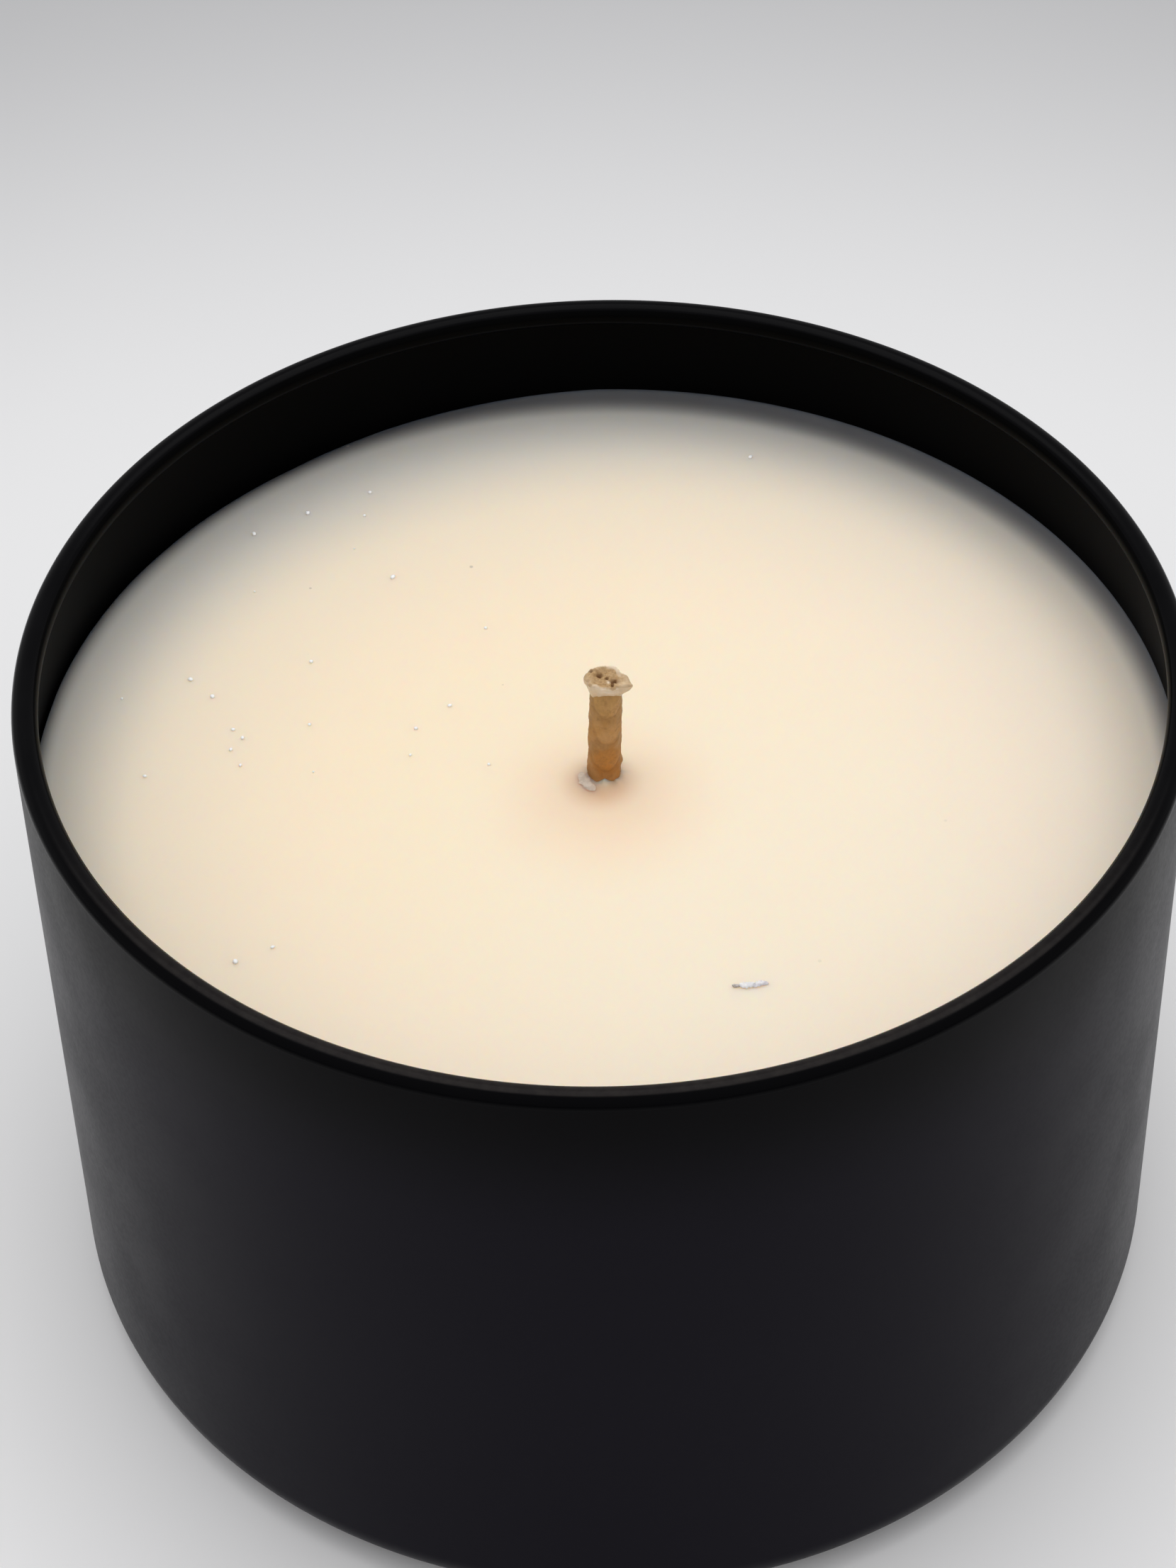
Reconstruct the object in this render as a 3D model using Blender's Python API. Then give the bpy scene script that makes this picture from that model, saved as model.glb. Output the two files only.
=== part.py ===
"""Candle tin: a drawn steel cup with a curled rim, a poured wax fill and one sustained wick.

Frame: metres, +Z up, origin at the centre of the tin's foot. The front of the tin faces -Y.
"""

import math

import bmesh
import bpy
from mathutils import Vector

MM = 0.001
GAP = 0.3 * MM  # clearance between pieces that touch on the real object

# Tin body: one sheet, drawn into a cup.
TIN_RADIUS = 40.0 * MM
TIN_HEIGHT = 54.0 * MM
SHEET = 0.3 * MM
CORNER_RADIUS = 4.0 * MM  # outer radius between the foot and the wall
FOOT_WIDTH = 2.2 * MM  # flat ring that the tin stands on
PANEL_RISE = 0.8 * MM  # the middle of the floor stands above the foot
PANEL_BEND = 0.6 * MM  # centreline radius of the two bends between foot and panel
CURL_RADIUS = 0.9 * MM  # outer radius of the rim, which is curled inward
CURL_SWEEP_DEG = 292.5

# Wax fill.
WAX_LEVEL = 44.5 * MM
MENISCUS_RISE = 0.35 * MM
MENISCUS_WIDTH = 1.6 * MM
WAX_RADIUS = TIN_RADIUS - SHEET - GAP

# Wick: it stands a little in front of the tin's axis and leans to one side above the wax.
WICK_Y = -1.4 * MM
WICK_RADIUS = 1.2 * MM
WICK_FOOT_RADIUS = 0.95 * MM  # squeezed where the sustainer holds it
WICK_TOP = 53.3 * MM
WICK_LEAN = 0.03  # sideways travel for each unit of height above the wax
LOBE_PITCH = 1.9 * MM
LOBE_DEPTH = 0.09 * MM

# Wax tip: the lip of priming wax round the wick's cut end.
TIP_RADIUS = 1.5 * MM
TIP_TOP = 53.9 * MM
TIP_SKIRT = 52.9 * MM
TIP_CLEARANCE = 0.05 * MM
TIP_TILT = math.radians(7)

# Sustainer: a stamped disc with a crimped neck, on an adhesive dot.
DOT_RADIUS = 9.5 * MM
DOT_THICKNESS = 0.9 * MM
PLATE = 0.25 * MM
DISC_RADIUS = 10.0 * MM
RIB_RADIUS = 6.5 * MM
RIB_HEIGHT = 0.5 * MM
RIB_WIDTH = 1.0 * MM
NECK_BORE = WICK_FOOT_RADIUS + GAP
NECK_HEIGHT = 6.0 * MM
NECK_FILLET = 0.8 * MM
CRIMP_SQUEEZE = 0.1

PANEL_TOP = PANEL_RISE + SHEET
DOT_BOTTOM = PANEL_TOP + GAP
DISC_BOTTOM = DOT_BOTTOM + DOT_THICKNESS + GAP
NECK_TOP = DISC_BOTTOM + NECK_HEIGHT

TIN_STEPS = 64
WICK_STEPS = 14
DISC_STEPS = 36


def clear_scene():
    for obj in list(bpy.data.objects):
        bpy.data.objects.remove(obj, do_unlink=True)


def make_material(name, color, roughness, metallic=0.0):
    material = bpy.data.materials.new(name)
    material.use_nodes = True
    shader = material.node_tree.nodes["Principled BSDF"]
    shader.inputs["Base Color"].default_value = (*color, 1.0)
    shader.inputs["Roughness"].default_value = roughness
    shader.inputs["Metallic"].default_value = metallic
    material.diffuse_color = (*color, 1.0)
    return material


def arc(center, radius, start_deg, end_deg, segments):
    """Points (r, z) on an arc, counted anticlockwise from +r."""
    start, end = math.radians(start_deg), math.radians(end_deg)
    angles = [start + (end - start) * i / segments for i in range(segments + 1)]
    return [(center[0] + radius * math.cos(a), center[1] + radius * math.sin(a)) for a in angles]


def offset_line(line, distance):
    """The open line moved sideways, to its right when the distance is positive."""
    moved = []
    for i, point in enumerate(line):
        here = Vector(point)
        before = (here - Vector(line[i - 1])).normalized() if i else None
        after = (Vector(line[i + 1]) - here).normalized() if i + 1 < len(line) else None
        before = before or after
        after = after or before
        along = (before + after).normalized()
        side = Vector((along.y, -along.x))
        moved.append(tuple(here + side * distance / along.dot(before)))
    return moved


def sheet_outline(line, thickness):
    """The outline of a sheet whose middle follows the line."""
    return offset_line(line, thickness / 2) + offset_line(line, -thickness / 2)[::-1]


def turned_mesh(name, outline, steps):
    """A solid turned about Z from an outline of (r, z) points, which may start and end on the axis."""
    bm = bmesh.new()
    points = [bm.verts.new((max(r, 0.0), 0.0, z)) for r, z in outline]
    on_axis = [r < 1e-7 for r, _ in outline]
    edges = []
    for i, point in enumerate(points):
        following = (i + 1) % len(points)
        if not (on_axis[i] and on_axis[following]):
            edges.append(bm.edges.new((point, points[following])))
    bmesh.ops.spin(
        bm,
        geom=points + edges,
        cent=(0, 0, 0),
        axis=(0, 0, 1),
        angle=math.tau,
        steps=steps,
        use_merge=True,
    )
    bmesh.ops.remove_doubles(bm, verts=bm.verts, dist=1e-6)
    bmesh.ops.recalc_face_normals(bm, faces=bm.faces)
    mesh = bpy.data.meshes.new(name)
    bm.to_mesh(mesh)
    bm.free()
    mesh.shade_smooth()
    mesh.set_sharp_from_angle(angle=math.radians(35))
    return mesh


def place(name, mesh, material, location=(0, 0, 0)):
    obj = bpy.data.objects.new(name, mesh)
    obj.location = location
    if material:
        mesh.materials.append(material)
    bpy.context.scene.collection.objects.link(obj)
    return obj


def tin_centreline():
    """The middle of the drawn sheet, from the centre of the floor to the free edge of the curl."""
    half = SHEET / 2
    bend_angle = math.degrees(math.acos(1 - PANEL_RISE / (2 * PANEL_BEND)))
    bend_run = PANEL_BEND * math.sin(math.radians(bend_angle))
    foot_outer = TIN_RADIUS - CORNER_RADIUS
    foot_inner = foot_outer - FOOT_WIDTH
    panel_edge = foot_inner - 2 * bend_run
    upper_bend = (panel_edge, half + PANEL_RISE - PANEL_BEND)
    lower_bend = (foot_inner, half + PANEL_BEND)
    line = [(0.0, half + PANEL_RISE)]
    line += arc(upper_bend, PANEL_BEND, 90, 90 - bend_angle, 3)
    line += arc(lower_bend, PANEL_BEND, 270 - bend_angle, 270, 3)[1:]
    corner = (foot_outer, CORNER_RADIUS)
    line += arc(corner, CORNER_RADIUS - half, -90, 0, 5)
    curl = (TIN_RADIUS - CURL_RADIUS, TIN_HEIGHT - CURL_RADIUS)
    line += arc(curl, CURL_RADIUS - half, 0, CURL_SWEEP_DEG, 13)
    return line


def build_tin_body():
    material = make_material("matt_black_coating", (0.012, 0.012, 0.013), 0.55)
    outline = sheet_outline(tin_centreline(), SHEET)
    return place("tin_body", turned_mesh("tin_body", outline, TIN_STEPS), material)


def wax_outline():
    """The wax follows the inside of the tin, one gap away from it."""
    bottom = offset_line(tin_centreline(), -(SHEET / 2 + GAP))
    bottom = [(r, z) for r, z in bottom if z < CORNER_RADIUS + MM and r < WAX_RADIUS]
    rise = [
        (WAX_RADIUS - MENISCUS_WIDTH * (1 - t), WAX_LEVEL + MENISCUS_RISE * t * t)
        for t in (1.0, 0.66, 0.33, 0.0)
    ]
    return bottom + [(WAX_RADIUS, CORNER_RADIUS)] + rise + [(0.0, WAX_LEVEL)]


def wick_pocket_outline():
    """The space round the sticker, the sustainer and the wick, measured on the wick's own axis."""
    ledge = DISC_BOTTOM + PLATE + RIB_HEIGHT + GAP
    disc = DISC_RADIUS + GAP
    neck = NECK_BORE + PLATE + 2 * GAP
    bore = WICK_RADIUS + GAP
    return [
        (0.0, -MM),
        (disc, -MM),
        (disc, ledge),
        (neck + NECK_FILLET, ledge),
        (neck, ledge + NECK_FILLET),
        (neck, NECK_TOP + GAP),
        (bore, NECK_TOP + GAP + 2 * MM),
        (bore, WAX_LEVEL + 2 * MM),
        (0.0, WAX_LEVEL + 2 * MM),
    ]


def build_wax_fill():
    material = make_material("cream_wax", (0.86, 0.74, 0.57), 0.45)
    wax = place("wax_fill", turned_mesh("wax_fill", wax_outline(), TIN_STEPS), material)
    pocket_mesh = turned_mesh("wick_pocket", wick_pocket_outline(), DISC_STEPS)
    pocket = place("wick_pocket", pocket_mesh, None, (0, WICK_Y, 0))
    pocket.hide_render = True
    pocket.display_type = "WIRE"
    cut = wax.modifiers.new("wick_pocket", "BOOLEAN")
    cut.operation = "DIFFERENCE"
    cut.object = pocket
    return wax


def lean(mesh):
    """Shears what stands above the wax towards +X."""
    for vertex in mesh.vertices:
        vertex.co.x += WICK_LEAN * max(0.0, vertex.co.z - WAX_LEVEL)


def wick_outline():
    """A braid's outline: lobes up the shaft, and a squeezed foot in the sustainer's neck."""
    squeeze_end = NECK_TOP + MM
    lobes = round((WICK_TOP - squeeze_end) / LOBE_PITCH)
    pitch = (WICK_TOP - squeeze_end) / lobes
    outline = [(0.0, DISC_BOTTOM), (WICK_FOOT_RADIUS, DISC_BOTTOM), (WICK_FOOT_RADIUS, NECK_TOP)]
    for i in range(lobes):
        outline.append((WICK_RADIUS - LOBE_DEPTH, squeeze_end + pitch * i))
        outline.append((WICK_RADIUS, squeeze_end + pitch * (i + 0.5)))
    outline += [(WICK_RADIUS - LOBE_DEPTH, WICK_TOP), (0.0, WICK_TOP)]
    return outline


def build_wick_braid():
    material = make_material("waxed_cotton", (0.42, 0.24, 0.10), 0.6)
    mesh = turned_mesh("wick_braid", wick_outline(), WICK_STEPS)
    lean(mesh)
    return place("wick_braid", mesh, material, (0, WICK_Y, 0))


def build_wax_tip():
    """A flared cap whose skirt hangs round the top of the braid. Its top face tilts with the cut."""
    material = make_material("priming_wax", (0.72, 0.60, 0.44), 0.4)
    bore = WICK_RADIUS + TIP_CLEARANCE
    outline = [
        (0.0, TIP_TOP),
        (0.75 * TIP_RADIUS, TIP_TOP),
        (TIP_RADIUS, TIP_TOP - 0.25 * MM),
        (TIP_RADIUS, TIP_SKIRT + 0.3 * MM),
        (bore + 0.12 * MM, TIP_SKIRT),
        (bore, TIP_SKIRT + 0.1 * MM),
        (bore, WICK_TOP + TIP_CLEARANCE),
        (0.0, WICK_TOP + TIP_CLEARANCE),
    ]
    mesh = turned_mesh("wick_wax_tip", outline, WICK_STEPS)
    for vertex in mesh.vertices:
        if vertex.co.z > WICK_TOP + 0.2 * MM:
            vertex.co.z -= math.tan(TIP_TILT) * (vertex.co.x + TIP_RADIUS) / 2
    lean(mesh)
    return place("wick_wax_tip", mesh, material, (0, WICK_Y, 0))


def sustainer_centreline():
    """From the free edge of the disc, over a stiffening rib, up the neck."""
    middle = DISC_BOTTOM + PLATE / 2
    neck = NECK_BORE + PLATE / 2
    rib = [
        (RIB_RADIUS + RIB_WIDTH, middle),
        (RIB_RADIUS + 0.4 * RIB_WIDTH, middle + RIB_HEIGHT),
        (RIB_RADIUS - 0.4 * RIB_WIDTH, middle + RIB_HEIGHT),
        (RIB_RADIUS - RIB_WIDTH, middle),
    ]
    fillet = arc((neck + NECK_FILLET, middle + NECK_FILLET), NECK_FILLET, 270, 180, 4)
    return [(DISC_RADIUS, middle)] + rib + fillet + [(neck, middle + 2.2 * MM), (neck, NECK_TOP)]


def build_sustainer():
    """The neck is pinched across Y and spreads a little across X, as a crimping tool leaves it."""
    material = make_material("tinplate", (0.62, 0.62, 0.60), 0.32, metallic=1.0)
    outline = sheet_outline(sustainer_centreline(), PLATE)
    mesh = turned_mesh("wick_sustainer", outline, DISC_STEPS)
    for vertex in mesh.vertices:
        if vertex.co.z > NECK_TOP - MM:
            vertex.co.y *= 1 - CRIMP_SQUEEZE
            vertex.co.x *= 1 + CRIMP_SQUEEZE / 2
    return place("wick_sustainer", mesh, material, (0, WICK_Y, 0))


def build_sticker():
    material = make_material("adhesive_foam", (0.80, 0.80, 0.78), 0.8)
    outline = [
        (0.0, DOT_BOTTOM + DOT_THICKNESS),
        (DOT_RADIUS, DOT_BOTTOM + DOT_THICKNESS),
        (DOT_RADIUS, DOT_BOTTOM),
        (0.0, DOT_BOTTOM),
    ]
    mesh = turned_mesh("wick_sticker", outline, DISC_STEPS)
    return place("wick_sticker", mesh, material, (0, WICK_Y, 0))


def build():
    clear_scene()
    build_tin_body()
    build_wax_fill()
    build_wick_braid()
    build_wax_tip()
    build_sustainer()
    build_sticker()


build()
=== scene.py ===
"""Looks of the candle tin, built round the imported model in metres, in the model's own frame.

The tin, the wax and the wick are rebuilt here at a fine resolution; the sustainer and its sticker,
which the wax hides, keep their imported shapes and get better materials.
"""

import math
import random

import bmesh
import bpy
import numpy as np
from mathutils import Matrix, Vector, noise


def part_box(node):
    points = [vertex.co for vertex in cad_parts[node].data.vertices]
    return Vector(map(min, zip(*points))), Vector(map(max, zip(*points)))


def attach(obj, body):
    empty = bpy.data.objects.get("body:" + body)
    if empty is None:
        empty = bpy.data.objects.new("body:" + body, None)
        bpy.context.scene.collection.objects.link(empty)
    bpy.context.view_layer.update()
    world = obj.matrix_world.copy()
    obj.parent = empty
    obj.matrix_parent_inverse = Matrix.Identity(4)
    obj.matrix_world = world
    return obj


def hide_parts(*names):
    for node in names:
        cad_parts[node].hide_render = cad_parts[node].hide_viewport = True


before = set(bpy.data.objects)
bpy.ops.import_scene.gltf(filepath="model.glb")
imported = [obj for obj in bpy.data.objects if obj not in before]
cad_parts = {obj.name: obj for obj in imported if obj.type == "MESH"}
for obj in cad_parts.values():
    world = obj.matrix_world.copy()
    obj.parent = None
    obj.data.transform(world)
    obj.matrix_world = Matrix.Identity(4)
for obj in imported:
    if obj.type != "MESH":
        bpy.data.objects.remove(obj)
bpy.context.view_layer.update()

MM = 0.001
BODY = "root"

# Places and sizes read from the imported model.
_, TIN_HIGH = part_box("tin_body")
WAX_LOW, WAX_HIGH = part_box("wax_fill")
PLATE_LOW, PLATE_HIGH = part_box("wick_sustainer")
_, BRAID_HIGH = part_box("wick_braid")
TIP_LOW, TIP_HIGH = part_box("wick_wax_tip")
TIN_RADIUS = TIN_HIGH.x
TIN_HEIGHT = TIN_HIGH.z
WICK_X = (PLATE_LOW.x + PLATE_HIGH.x) / 2
WICK_Y = (PLATE_LOW.y + PLATE_HIGH.y) / 2

# Tin: the drawn sheet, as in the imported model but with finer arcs.
SHEET = 0.3 * MM
CORNER_RADIUS = 4.0 * MM
FOOT_WIDTH = 2.2 * MM
PANEL_RISE = 0.8 * MM
PANEL_BEND = 0.6 * MM
CURL_RADIUS = 0.9 * MM
CURL_SWEEP_DEG = 292.5
TIN_STEPS = 288

# Wax: it wets the wall on the right and at the back, and has shrunk from it on the left.
MENISCUS_RISE = 0.35 * MM
MENISCUS_CLIMB = 0.75 * MM
MENISCUS_WIDTH = 2.0 * MM
WAX_LEVEL = WAX_HIGH.z - MENISCUS_RISE
WAX_CLEARANCE = 0.02 * MM
WAX_RADIUS = TIN_RADIUS - SHEET - WAX_CLEARANCE
SHRINK = 0.15 * MM
SHOULDER_DROP = 0.2 * MM
SHOULDER_WIDTH = 0.7 * MM
WAX_STEPS = 288
WAX_RINGS = 170
WICK_BORE = 1.0 * MM
POCKET_RADIUS = 10.3 * MM
POCKET_TOP = PLATE_HIGH.z + 0.3 * MM
CRUMBS = 26
CRUMB_RADIUS_MM = (0.07, 0.18)
CRUMB_FIELD_MM = (6.0, 31.0)
CRUMB_SIDE = math.radians(155)
CRUMB_SPREAD = 0.75
FLECK_PLACE = Vector((9.3, -21.9)) * MM
FLAKE_PLACE = Vector((-1.34, -1.08)) * MM

# Wick: its stitches hang in columns, like tiles.
WICK_LEAN = 0.034
WICK_HALF_LOW = 1.21 * MM
WICK_HALF_HIGH = 1.165 * MM
WICK_FOOT = 0.93 * MM
STITCH_PITCH = 2.4 * MM
STITCH_COLUMNS = 3
STITCH_TURN = math.radians(-80)
STITCH_DEPTH = 0.10 * MM
WICK_STEPS = 120
WICK_CUT = 0.055 * MM
LIP_Z = TIP_HIGH.z - 0.5 * MM
LIP_OVERLAP_MM = 0.03
PLAIT_TOP = LIP_Z - 0.45 * MM
PIT_ROW = (Vector((-1.04, 0.60)), Vector((0.50, -0.20)))
PITS = ((0.0, 0.12, 0.6), (0.36, 0.17, 0.9), (0.70, 0.10, 0.8), (1.0, 0.20, 1.0))

# Light: directions are unit vectors, brightness is in the sky's own units.
SKY_AXIS = (0.0, -0.10, 0.995)
SKY_EDGE, SKY_FULL = 0.0, 1.0
SKY_DIM, SKY_BRIGHT = 0.60, 0.73
PANEL_SIZE = (0.50, 0.314)
PANEL_PLACE = (0.0, 0.093, 0.394)
PANEL_POWER = 0.77

# Floor.
FLOOR_RADIUS = 2.5
FLOOR_GAP = 0.05 * MM

# Camera: distances in metres, angles in degrees.
CAMERA_PLACE = (0.0, -0.20172, 0.23924)
CAMERA_PITCH = 44.362
CAMERA_YAW = -0.325
CAMERA_ROLL = -1.6055
CAMERA_LENS = 92.7
SENSOR = 36.0


# ---------------------------------------------------------------- node helpers


class Nodes:
    """A short way to build one material's node tree."""

    def __init__(self, name):
        self.material = bpy.data.materials.new(name)
        self.material.use_nodes = True
        self.tree = self.material.node_tree
        self.shader = self.tree.nodes["Principled BSDF"]
        self.point = self.add("ShaderNodeTexCoord").outputs["Object"]

    def add(self, kind, inputs=None, **settings):
        node = self.tree.nodes.new(kind)
        for key, value in settings.items():
            setattr(node, key, value)
        for key, value in (inputs or {}).items():
            self.set(node.inputs[key], value)
        return node

    def set(self, socket, value):
        if isinstance(value, bpy.types.NodeSocket):
            self.tree.links.new(value, socket)
        else:
            socket.default_value = value

    def finish(self, **inputs):
        for key, value in inputs.items():
            self.set(self.shader.inputs[key.replace("_", " ")], value)
        return self.material

    def noise(self, scale, detail=2.0, roughness=0.5, point=None, distortion=0.0):
        node = self.add(
            "ShaderNodeTexNoise",
            {
                "Vector": point or self.point,
                "Scale": scale,
                "Detail": detail,
                "Roughness": roughness,
                "Distortion": distortion,
            },
        )
        return node.outputs["Fac"]

    def math(self, operation, a, b=0.0, clamp=False):
        node = self.add("ShaderNodeMath", operation=operation, use_clamp=clamp)
        self.set(node.inputs[0], a)
        self.set(node.inputs[1], b)
        return node.outputs[0]

    def vector(self, operation, a, b=None, output="Vector"):
        node = self.add("ShaderNodeVectorMath", {0: a}, operation=operation)
        if b is not None:
            self.set(node.inputs[1], b)
        return node.outputs[output]

    def ramp(self, value, low, high, out_low=0.0, out_high=1.0):
        node = self.add(
            "ShaderNodeMapRange",
            {
                "Value": value,
                "From Min": low,
                "From Max": high,
                "To Min": out_low,
                "To Max": out_high,
            },
            interpolation_type="SMOOTHSTEP",
        )
        return node.outputs["Result"]

    def mix(self, factor, a, b, blend="MIX"):
        node = self.add("ShaderNodeMix", data_type="RGBA", blend_type=blend)
        self.set(node.inputs["Factor"], factor)
        self.set(node.inputs["A"], a)
        self.set(node.inputs["B"], b)
        return node.outputs["Result"]

    def bump(self, height, strength, distance):
        inputs = {"Height": height, "Strength": strength, "Distance": distance}
        return self.add("ShaderNodeBump", inputs).outputs["Normal"]

    def axis(self, name):
        return self.add("ShaderNodeSeparateXYZ", {"Vector": self.point}).outputs[name]

    def painted(self, name):
        """A number that the mesh carries on its points."""
        return self.add("ShaderNodeAttribute", attribute_name=name).outputs["Fac"]

    def radius_from(self, x, y):
        """Distance from a vertical line through (x, y)."""
        moved = self.vector("SUBTRACT", self.point, (x, y, 0.0))
        flat = self.vector("MULTIPLY", moved, (1.0, 1.0, 0.0))
        return self.vector("LENGTH", flat, output="Value")

    def specks(self, density, size, share):
        """Scattered round dots: 1 inside a dot, 0 outside. density is cells per metre."""
        cell = self.add("ShaderNodeTexVoronoi", {"Vector": self.point, "Scale": density})
        pick = self.add("ShaderNodeSeparateColor", {"Color": cell.outputs["Color"]})
        chosen = self.math("GREATER_THAN", pick.outputs[0], 1.0 - share)
        dot = self.ramp(cell.outputs["Distance"], size, size * 0.6)
        return self.math("MULTIPLY", chosen, dot)


def rgb(red, green, blue):
    return (red, green, blue, 1.0)


# ---------------------------------------------------------------- materials


def tin_coating():
    """Matt black lacquer on the wall: painted shade makes it deepest just under the rim; it has a fine
    grain and dust.
    """
    n = Nodes("matt_black_coating")
    mottle = n.noise(140.0, 3.0)
    grain = n.noise(2600.0, 2.0)
    color = n.mix(mottle, rgb(0.0050, 0.0044, 0.0080), rgb(0.0062, 0.0055, 0.0094))
    height = n.axis("Z")
    # Painted shade: the wall's colour goes near black in the band just under the rim.
    shade = n.ramp(height, TIN_HEIGHT - 1.5 * MM, TIN_HEIGHT - 14 * MM, 0.0, 1.0)
    color = n.mix(shade, rgb(0.0004, 0.0004, 0.0008), color)
    dust = n.specks(150.0, 0.014, 0.10)
    color = n.mix(dust, color, rgb(0.13, 0.12, 0.11))
    rough = n.math(
        "ADD", n.ramp(mottle, 0.3, 0.7, 0.31, 0.36), n.ramp(grain, 0.3, 0.7, -0.02, 0.02)
    )
    return n.finish(
        Base_Color=color,
        Roughness=rough,
        Normal=n.bump(grain, 0.10, 0.00002),
        Specular_IOR_Level=0.038,
        Specular_Tint=rgb(1.0, 0.94, 0.965),
    )


def rim_coating():
    """The same lacquer over the curl, rubbed smoother, with a painted highlight that makes it lighter in
    front, and dust.
    """
    n = Nodes("rubbed_black_coating")
    mottle = n.noise(260.0, 3.0)
    color = n.mix(mottle, rgb(0.0004, 0.0004, 0.0008), rgb(0.0009, 0.0008, 0.0013))
    # Painted highlight: a lighter, mottled band along the top of the curl at the front.
    top_edge = TIN_RADIUS - 0.55 * MM
    front_highlight = n.ramp(n.radius_from(0.0, 0.0), top_edge + 0.08 * MM, top_edge - 0.08 * MM)
    front_highlight = n.math("MULTIPLY", front_highlight, n.ramp(n.axis("Y"), -12.0 * MM, -36.0 * MM))
    highlight_mottle = n.ramp(n.noise(1400.0, 3.0, 0.6), 0.3, 0.7)
    color = n.mix(front_highlight, color, n.mix(highlight_mottle, rgb(0.012, 0.010, 0.010), rgb(0.018, 0.0155, 0.0145)))
    dust = n.specks(420.0, 0.05, 0.035)
    color = n.mix(dust, color, rgb(0.20, 0.19, 0.18))
    return n.finish(
        Base_Color=color,
        Roughness=n.ramp(mottle, 0.3, 0.7, 0.20, 0.27),
        Normal=n.bump(n.noise(2600.0, 2.0), 0.06, 0.00002),
        Specular_IOR_Level=0.045,
    )


def tin_lining():
    """The same lacquer inside the tin, blacker and less glossy."""
    n = Nodes("matt_black_lining")
    mottle = n.noise(170.0, 3.0)
    color = n.mix(mottle, rgb(0.0006, 0.0006, 0.0007), rgb(0.0012, 0.0012, 0.0013))
    return n.finish(
        Base_Color=color,
        Roughness=n.ramp(mottle, 0.3, 0.7, 0.30, 0.36),
        Normal=n.bump(n.noise(2600.0, 2.0), 0.10, 0.00002),
        Specular_IOR_Level=0.02,
    )


def wax_material():
    """Cream wax: yellower on the left, with painted shade making it grey towards the black wall and brown
    round the wick.
    """
    n = Nodes("cream_wax")
    cloud = n.noise(55.0, 3.0, 0.55)
    fine = n.noise(900.0, 3.0, 0.6)
    across = n.vector("DOT_PRODUCT", n.point, (0.8, -0.6, 0.0), output="Value")
    color = n.mix(n.ramp(across, -34 * MM, 34 * MM), rgb(0.94, 0.775, 0.56), rgb(0.955, 0.815, 0.665))
    color = n.mix(n.ramp(cloud, 0.3, 0.7, 0.0, 0.12), color, rgb(0.90, 0.74, 0.56))
    # Painted shade: grey, then blue-grey, towards the black wall, wider at the back and on the left.
    from_front = n.radius_from(3.0 * MM, -7.0 * MM)
    color = n.mix(n.ramp(from_front, 14.0 * MM, 46.0 * MM, 0.0, 0.5), color, rgb(0.69, 0.685, 0.62))
    color = n.mix(n.ramp(from_front, 34.0 * MM, 45.0 * MM, 0.0, 0.56), color, rgb(0.41, 0.44, 0.47))
    # Painted shade: a dark ring where the wax meets the black wall.
    from_axis = n.radius_from(-0.2 * MM, -0.6 * MM)
    color = n.mix(n.ramp(from_axis, 38.0 * MM, 39.9 * MM, 0.0, 0.9), color, rgb(0.06, 0.06, 0.07))
    # Painted warm shade round the wick: a broad one, and a darker one close to it.
    broad_wick_shade = n.ramp(n.radius_from(WICK_X, WICK_Y - 3.0 * MM), 10.0 * MM, 1.0 * MM, 0.0, 0.4)
    color = n.mix(broad_wick_shade, color, rgb(0.84, 0.62, 0.43))
    from_wick = n.radius_from(WICK_X - 0.3 * MM, WICK_Y - 1.1 * MM)
    near_wick_shade = n.ramp(from_wick, 3.3 * MM, 0.6 * MM, 0.0, 0.85)
    color = n.mix(near_wick_shade, color, rgb(0.74, 0.47, 0.29))
    stuck = n.ramp(n.radius_from(WICK_X, WICK_Y - 1.3 * MM), 0.50 * MM, 0.20 * MM)
    stuck = n.math("MULTIPLY", stuck, n.ramp(n.noise(1700.0), 0.35, 0.6, 0.1, 0.45))
    color = n.mix(stuck, color, rgb(0.86, 0.64, 0.50))
    pits = n.math("MULTIPLY", n.specks(430.0, 0.07, 0.07), n.ramp(n.axis("Y"), -8 * MM, 16 * MM, 0.15, 0.5))
    color = n.mix(pits, color, rgb(0.36, 0.31, 0.26))
    return n.finish(
        Base_Color=color,
        Roughness=n.ramp(fine, 0.3, 0.7, 0.40, 0.52),
        Normal=n.bump(fine, 0.10, 0.00005),
        Subsurface_Weight=1.0,
        Subsurface_Radius=(1.0, 0.7, 0.42),
        Subsurface_Scale=0.0024,
        Specular_IOR_Level=0.3,
    )


def crumb_material():
    """Crumbs of wax, white all through, with a waxy shine."""
    n = Nodes("wax_crumb")
    patch = n.noise(3000.0, 2.0, 0.6)
    color = n.mix(patch, rgb(0.96, 0.96, 0.95), rgb(1.0, 1.0, 1.0))
    return n.finish(
        Base_Color=color,
        Roughness=n.ramp(patch, 0.3, 0.7, 0.30, 0.45),
        Normal=n.bump(patch, 0.1, 0.00005),
        Subsurface_Weight=0.5,
        Subsurface_Radius=(1.0, 0.95, 0.9),
        Subsurface_Scale=0.0002,
    )


def flake_material(name, dull, bright):
    """Loose bits of wax, paler than the block where the light scatters in their cracks."""
    n = Nodes(name)
    patch = n.noise(1900.0, 2.0, 0.6)
    color = n.mix(n.ramp(patch, 0.40, 0.62), dull, bright)
    return n.finish(
        Base_Color=color,
        Roughness=n.ramp(patch, 0.3, 0.7, 0.30, 0.45),
        Normal=n.bump(patch, 0.2, 0.00005),
        Subsurface_Weight=0.5,
        Subsurface_Radius=(1.0, 0.9, 0.85),
        Subsurface_Scale=0.0004,
    )


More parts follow.
